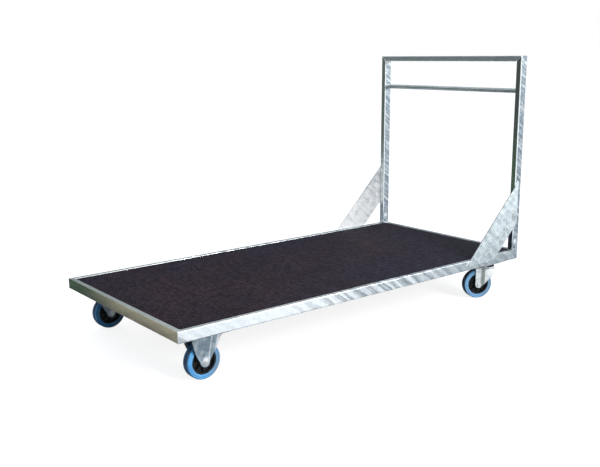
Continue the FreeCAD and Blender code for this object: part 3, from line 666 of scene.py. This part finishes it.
def pressed_sheet(work, columns, top, foot, outer, press):
    """Sheet bent down over both sides of the wheel: a roof, two bends and two legs, drawn about the axle.

    foot(x) is the lower end of each column, outer(z) the leg's distance from the middle and press(x) the
    relief.
    """
    sheet, bend, roof_edge, leg_rows = 0.004, 0.008, outer(top), 20
    grid = []
    for x in columns:
        half = [(share * (roof_edge - bend), top) for share in (0.0, 0.5, 1.0)]
        for step in (1, 2, 3):
            angle = math.radians(30 * step)
            half.append((roof_edge - bend + bend * math.sin(angle), top - bend + bend * math.cos(angle)))
        for row in range(1, leg_rows + 1):
            z = top - bend + (foot(x) - top + bend) * row / leg_rows
            half.append((outer(z), z))
        lowest = top - bend / 2
        raised = [(y + press(x) * smooth(lowest - z, 0.0, 0.012), z) for y, z in half]
        line = [(-y, z) for y, z in reversed(raised[1:])] + raised
        grid.append([work.verts.new((x, y, z)) for y, z in line])
    faces = []
    for near, far in zip(grid, grid[1:]):
        for j in range(len(near) - 1):
            faces.append(work.faces.new((near[j], near[j + 1], far[j + 1], far[j])))
    bmesh.ops.recalc_face_normals(work, faces=faces)
    if max(faces, key=lambda face: face.calc_center_median().z).normal.z < 0:
        bmesh.ops.reverse_faces(work, faces=faces)
    bmesh.ops.solidify(work, geom=faces, thickness=sheet)


def stations(*stops):
    """Column places: every 3 mm or closer between the given stops."""
    places = [stops[0]]
    for low, high in zip(stops, stops[1:]):
        count = max(1, math.ceil((high - low) / 0.003))
        places += [low + (high - low) * i / count for i in range(1, count + 1)]
    return places


BRACKET_EDGE = ((0.0225, 0.0), (0.0340, 0.018), (0.0450, 0.038), (0.0570, 0.068), (0.0700, 0.106))


def fixed_legs(name, place):
    """Channel bracket with flared legs, a raised panel down the middle and edges curled inwards."""
    boss, half_length, top = BRACKET_EDGE[0][0], BRACKET_EDGE[-1][0], 0.120
    panel, panel_edge, wing_start = 0.0130, 0.0210, 0.045

    def foot(x):
        if abs(x) <= boss:
            return -math.sqrt(boss * boss - x * x)
        for (x0, z0), (x1, z1) in zip(BRACKET_EDGE, BRACKET_EDGE[1:]):
            if abs(x) <= x1:
                return z0 + (z1 - z0) * (abs(x) - x0) / (x1 - x0)
        return BRACKET_EDGE[-1][1]

    def outer(z):
        above = z - 0.024
        return 0.028 + 0.150 * (above + math.hypot(above, 0.010))

    def press(x):
        raised = 0.0040 * (1 - smooth(abs(x), panel, panel_edge))
        return raised - 0.0070 * smooth(abs(x), wing_start, half_length)

    work = bmesh.new()
    half = (panel, panel_edge, boss, wing_start, half_length)
    columns = stations(*(-x for x in reversed(half)), *half)
    pressed_sheet(work, columns, top, foot, outer, press)
    slab(work, Matrix.Translation((0, 0, top - 0.003)), (2 * half_length - 0.001, 0.092, 0.0058))
    item = finish_mesh(work, "pressed_bracket_" + name, BRACKET, 30)

    def glint_marks(v):
        """Painted highlight along the folds and round the axle, stronger on the rear half, which faces the
        light.
        """
        wing, slope = (0.90, 0.70) if v.x > 0 else (0.25, 0.15)
        wing *= smooth(abs(v.x), wing_start - 0.002, wing_start + 0.002)
        slope *= smooth(abs(v.x), panel - 0.001, panel + 0.002)
        slope *= 1 - smooth(abs(v.x), panel_edge, panel_edge + 0.003)
        boss_glint = 0.85 * (1 - smooth(math.hypot(v.x, 0.75 * (v.z - 0.004)), 0.010, 0.018))
        return max(wing, slope, boss_glint)

    mark(item, "fold_glint", glint_marks)
    item.data.transform(place)
    stand_for(item, "fixed_bracket_" + name)


FORK_EDGE = ((0.0080, -0.0183), (0.050, 0.027), (0.071, 0.044), (0.092, 0.080))


def fork_legs(name, place):
    """Swivel fork: narrow legs at the axle that step out to the width of the head in front."""
    boss, tip, top = 0.020, FORK_EDGE[-1][0], 0.096
    step_start, step_end = 0.011, 0.031

    def foot(x):
        if x <= FORK_EDGE[0][0]:
            return -math.sqrt(max(boss * boss - x * x, 0.0))
        for (x0, z0), (x1, z1) in zip(FORK_EDGE, FORK_EDGE[1:]):
            if x <= x1:
                return z0 + (z1 - z0) * (x - x0) / (x1 - x0)
        return FORK_EDGE[-1][1]

    def press(x):
        share = min(max((x - step_start) / (step_end - step_start), 0.0), 1.0)
        return 0.0020 + 0.0110 * share - 0.0050 * smooth(x, 0.070, tip)

    # Painted shade on the flank of the fork's step, below the roof.
    def step_flank(v):
        below_roof = v.z < top - 0.006
        rising = smooth(v.x, step_start - 0.0005, step_start + 0.0005)
        return rising * (1 - smooth(v.x, 0.028, step_end + 0.0005)) if below_roof else 0.0

    work = bmesh.new()
    columns = stations(-boss, -0.019, -0.017, 0.008, step_start, step_end, 0.050, 0.071, tip)
    pressed_sheet(work, columns, top, foot, lambda z: 0.028, press)
    crown = [(0.0082, 0.0930), (0.0450, 0.0930), (0.0460, 0.0940), (0.0460, 0.0970), (0.0450, 0.0980),
             (0.0350, 0.0980), (0.0335, 0.0960), (0.0245, 0.0960), (0.0230, 0.0980), (0.0082, 0.0980)]
    turned = bmesh.new()
    lathe(turned, crown, 64)
    turned.transform(Matrix.Translation((TRAIL, 0, 0)) @ Matrix.Rotation(math.pi / 2, 4, "X"))
    bmesh.ops.recalc_face_normals(turned, faces=turned.faces)
    ring = bpy.data.meshes.new("crown")
    turned.to_mesh(ring)
    turned.free()
    work.from_mesh(ring)
    bpy.data.meshes.remove(ring)
    item = finish_mesh(work, "pressed_fork_" + name, PLATED, 30)
    mark(item, "crease_shade", step_flank)
    item.data.transform(place)
    stand_for(item, "swivel_fork_" + name)


for side, sign in SIDES:
    for end in ("front", "rear"):
        label = f"{end}_{side}"
        place = wheel_frame(end, side, sign)
        tyre_piece(label, place)
        core_piece(label, place)
        if end == "front":
            fixed_legs(label, place)
        else:
            fork_legs(label, place)


# Weld beads


def bead_tree():
    """Geometry nodes: a rippled bead along every path of edges."""
    tree = bpy.data.node_groups.new("WeldBead", "GeometryNodeTree")
    face = tree.interface
    face.new_socket("Paths", in_out="INPUT", socket_type="NodeSocketGeometry")
    for label, value in (("Radius", 0.0025), ("Ripple", 0.16), ("Pitch", 0.0035), ("Spacing", 0.0011)):
        face.new_socket(label, in_out="INPUT", socket_type="NodeSocketFloat").default_value = value
    face.new_socket("Seed", in_out="INPUT", socket_type="NodeSocketInt").default_value = 7
    face.new_socket("Material", in_out="INPUT", socket_type="NodeSocketMaterial")
    face.new_socket("Beads", in_out="OUTPUT", socket_type="NodeSocketGeometry")
    g = Graph(tree)
    start = g.node("NodeGroupInput").outputs
    curve = g.node("GeometryNodeMeshToCurve", {"Mesh": start["Paths"]}).outputs["Curve"]
    even = {"Curve": curve, "Length": start["Spacing"]}
    curve = g.node("GeometryNodeResampleCurve", even, mode="LENGTH").outputs[0]
    along = g.node("GeometryNodeSplineParameter").outputs["Length"]
    wave = g.math("SINE", g.math("MULTIPLY", g.math("DIVIDE", along, start["Pitch"]), 2 * math.pi))
    limits = {2: -1.0, 3: 1.0, "Seed": start["Seed"]}
    spread = g.node("FunctionNodeRandomValue", limits, data_type="FLOAT").outputs[1]
    uneven = g.math("MULTIPLY_ADD", spread, 0.35, wave)
    radius = g.math("MULTIPLY", start["Radius"], g.math("MULTIPLY_ADD", uneven, start["Ripple"], 1.0))
    ring = g.node("GeometryNodeCurvePrimitiveCircle", {"Resolution": 8, "Radius": 1.0}).outputs["Curve"]
    swept = g.node("GeometryNodeCurveToMesh", {"Curve": curve, "Profile Curve": ring, "Scale": radius,
                                               "Fill Caps": True}).outputs[0]
    solid = g.node("GeometryNodeRealizeInstances", {0: swept}).outputs[0]
    solid = g.node("GeometryNodeSetMaterial", {"Geometry": solid, "Material": start["Material"]}).outputs[0]
    g.feed(g.node("NodeGroupOutput").inputs[0], solid)
    return tree


def beads(tree, name, radius, material, paths):
    """Plain mesh of beads along the given lists of points, on the frame."""
    points, edges = [], []
    for path in paths:
        edges += [(len(points) + i, len(points) + i + 1) for i in range(len(path) - 1)]
        points += path
    lines = bpy.data.meshes.new(name + "_paths")
    lines.from_pydata(points, edges, [])
    holder = bpy.data.objects.new(name + "_paths", lines)
    bpy.context.scene.collection.objects.link(holder)
    modifier = holder.modifiers.new("bead", "NODES")
    modifier.node_group = tree
    chosen = {"Radius": radius, "Material": material}
    for socket in tree.interface.items_tree:
        if socket.in_out == "INPUT" and socket.name in chosen:
            modifier[socket.identifier] = chosen[socket.name]
    bpy.context.view_layer.update()
    mesh = bpy.data.meshes.new_from_object(holder.evaluated_get(bpy.context.evaluated_depsgraph_get()))
    bpy.data.objects.remove(holder)
    mesh.shade_smooth()
    item = bpy.data.objects.new(name, mesh)
    bpy.context.scene.collection.objects.link(item)
    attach(item, "frame")


def ring_path(centre, radius, steps=24):
    """Closed path about the Y axis."""
    turns = [2 * math.pi * i / steps for i in range(steps + 1)]
    return [(centre[0] + radius * math.cos(a), centre[1], centre[2] + radius * math.sin(a)) for a in turns]


def weld_seams():
    """Beads at the mitres, butts, gussets, push bar, bearers and caster pads of both sides."""
    heavy, light, glint_seams = [], [], []
    butt, bearer_run, pad_run = UPRIGHT_FRONT, 0.013, 0.095
    front, outside, inside = -HALF_LENGTH + 0.002, HALF_WIDTH - 0.002, INNER_Y + 0.001
    for _, sign in SIDES:
        for z in (RAIL_LOW, RAIL_TOP):
            light.append([(front, sign * outside, z), (front + 0.022, sign * inside, z)])
        light.append([(butt, sign * outside, RAIL_LOW + 0.003), (butt, sign * outside, RAIL_TOP - 0.002)])
        heavy.append([(butt, sign * (HALF_WIDTH - 0.003), RAIL_TOP), (butt, sign * INNER_Y, RAIL_TOP)])
        corner = sign * HANDLE_INNER
        heavy.append([(UPRIGHT_X, corner, RAIL_LOW + 0.003), (UPRIGHT_X, corner, RAIL_TOP - 0.002),
                      (HALF_LENGTH - 0.004, corner, RAIL_TOP)])
        for seams, corners in ((glint_seams, (GUSSET_HEEL, GUSSET_LOW_TIP[0])), (heavy, GUSSET_LOW_TIP),
                               (heavy, GUSSET_HIGH_TIP)):
            seams.append([(x, sign * HALF_WIDTH, z) for x, z in corners])
        light.append([(butt, sign * outside, HANDLE_TOP - 0.002),
                      (butt, corner + sign * 0.001, HANDLE_TOP - HANDLE_WIDTH + 0.001)])
        heavy.append(ring_path((UPRIGHT_X, corner, PUSH_BAR_Z), PUSH_BAR_RADIUS))
        for x in BEARERS:
            heavy.append([(x + way * bearer_run, sign * INNER_Y, RAIL_LOW) for way in (-1, 1)])
        for end in (-1, 1):
            middle, edge, seam_z = end * CASTER.x, sign * (CASTER.y + PAD_HALF.y), RAIL_LOW - 0.001
            heavy.append([(middle + way * pad_run, edge, seam_z) for way in (-1, 1)])
    tree = bead_tree()
    beads(tree, "fillet_welds", 0.0030, WELD_ZINC, heavy)
    beads(tree, "flush_welds", 0.0014, WELD_ZINC, light)
    # The tip welds are near white as a painted highlight.
    beads(tree, "tip_welds", 0.0040, GLINT_WELD, glint_seams)


weld_seams()


# Stage: floor, light and camera


def seen_rays(g):
    """1 for rays straight to the camera, for mirrored ones, and for either."""
    rays = g.node("ShaderNodeLightPath").outputs
    mirrored_rays = g.math("MAXIMUM", rays["Is Glossy Ray"], rays["Is Transmission Ray"])
    return rays["Is Camera Ray"], mirrored_rays, g.math("MAXIMUM", rays["Is Camera Ray"], mirrored_rays)


def stage_sheet(name, corners, material):
    mesh = bpy.data.meshes.new(name)
    mesh.from_pydata(corners, [], [(0, 1, 2, 3)])
    mesh.materials.append(material)
    item = bpy.data.objects.new(name, mesh)
    bpy.context.scene.collection.objects.link(item)
    return item


def white_floor():
    """Pale floor that reads white and keeps the object's shadow; it hides nothing from below."""
    material, g, surface = new_material("pale_floor")
    direct, mirrored_rays, _ = seen_rays(g)
    colour = g.mix(mirrored_rays, srgb(66, 68, 66), (0.72, 0.72, 0.72, 1.0))
    g.feed(surface["Base Color"], g.mix(direct, colour, (0.30, 0.30, 0.30, 1.0)))
    g.feed(surface["Emission Color"], (1.0, 1.0, 1.0, 1.0))
    glow = g.math("MULTIPLY_ADD", mirrored_rays, 0.12, g.math("MULTIPLY", direct, 0.86))
    g.feed(surface["Emission Strength"], glow)
    g.feed(surface["Roughness"], 0.9)
    g.feed(surface["Specular IOR Level"], 0.0)
    from_below = g.node("ShaderNodeNewGeometry").outputs["Backfacing"]
    clear = g.node("ShaderNodeBsdfTransparent").outputs[0]
    solid = g.tree.nodes["Principled BSDF"].outputs[0]
    both = g.node("ShaderNodeMixShader", {0: from_below, 1: solid, 2: clear}).outputs[0]
    g.feed(g.tree.nodes["Material Output"].inputs["Surface"], both)
    reach = 40.0
    corners = [(-reach, -reach, 0), (reach, -reach, 0), (reach, reach, 0), (-reach, reach, 0)]
    stage_sheet("floor", corners, material)


def flag(name, start, end, low, high, first, last, ramp=(0.0, 1.0)):
    """Upright card that only the metal mirrors; its colour runs from first to last over the ramp."""
    material, g, surface = new_material(name)
    run = Vector((*end, 0)) - Vector((*start, 0))
    base = Vector((*start, 0)).dot(run.normalized())
    place = g.dot(g.object_coords(), tuple(run.normalized()))
    share = g.span(place, base + ramp[0] * run.length, base + ramp[1] * run.length)
    g.feed(surface["Base Color"], g.mix(share, first, last))
    g.feed(surface["Roughness"], 0.9)
    card = stage_sheet(name, [(*start, low), (*end, low), (*end, high), (*start, high)], material)
    card.visible_camera = False
    card.visible_diffuse = False
    card.visible_shadow = False


def sky():
    """White background, and soft even light from above."""
    world = bpy.data.worlds.new("studio")
    bpy.context.scene.world = world
    world.use_nodes = True
    g = Graph(world.node_tree)
    background = world.node_tree.nodes["Background"].inputs
    up = g.axes(g.node("ShaderNodeTexCoord").outputs["Generated"])[2]
    soft = g.mix(g.span(up, 0.0, 0.7), srgb(62, 67, 71), srgb(226, 235, 246))
    g.feed(background["Color"], g.mix(seen_rays(g)[2], soft, (1.0, 1.0, 1.0, 1.0)))
    background["Strength"].default_value = 1.0


def lamp(name, spot, aim, size, power, mirrored_in_metal=True, lights_matt=True):
    data = bpy.data.lights.new(name, "AREA")
    data.shape = "DISK"
    data.size = size
    data.energy = power
    item = bpy.data.objects.new(name, data)
    item.location = spot
    item.rotation_euler = (Vector(aim) - Vector(spot)).to_track_quat("-Z", "Y").to_euler()
    item.visible_glossy = mirrored_in_metal
    item.visible_diffuse = lights_matt
    bpy.context.scene.collection.objects.link(item)


def camera():
    """Found by fitting the model's edges to the photograph."""
    yaw, pitch, roll = (math.radians(angle) for angle in (38.814, 12.332, 0.34))
    ahead = Vector((math.sin(yaw) * math.cos(pitch), math.cos(yaw) * math.cos(pitch), -math.sin(pitch)))
    level = Vector((math.cos(yaw), -math.sin(yaw), 0))
    down = ahead.cross(level)
    right = math.cos(roll) * level + math.sin(roll) * down
    up = math.sin(roll) * level - math.cos(roll) * down
    data = bpy.data.cameras.new("camera")
    data.sensor_width = 36.0
    data.lens = 48.892
    item = bpy.data.objects.new("camera", data)
    spot = Matrix.Translation((-2.6171, -3.1958, 1.3209))
    item.matrix_world = spot @ Matrix((right, up, -ahead)).transposed().to_4x4()
    bpy.context.scene.collection.objects.link(item)
    bpy.context.scene.camera = item


white_floor()
flag("front_flag", (-1.13, -0.70), (-1.13, 2.00), 0.0, 0.60, srgb(214, 200, 166), srgb(36, 76, 4),
     (0.24, 0.46))
flag("left_flag", (-2.30, -0.60), (-2.30, 6.50), 0.0, 2.9, srgb(30, 40, 26), srgb(84, 96, 78), (0.32, 0.68))
flag("back_flag", (-1.50, 3.00), (5.50, 3.00), 0.3, 2.6, srgb(98, 110, 98), srgb(172, 178, 182))
sky()
lamp("key", (1.2, -8.0, 4.4), (0.0, 0.0, 0.3), 3.0, 660, mirrored_in_metal=False)
lamp("side", (6.2, -6.4, 4.4), (0.0, 0.0, 0.3), 3.0, 820, lights_matt=False)
lamp("fill", (2.0, 8.0, 4.5), (0.0, 0.0, 0.4), 4.0, 200, mirrored_in_metal=False)
camera()
bpy.context.scene.view_settings.view_transform = "Standard"
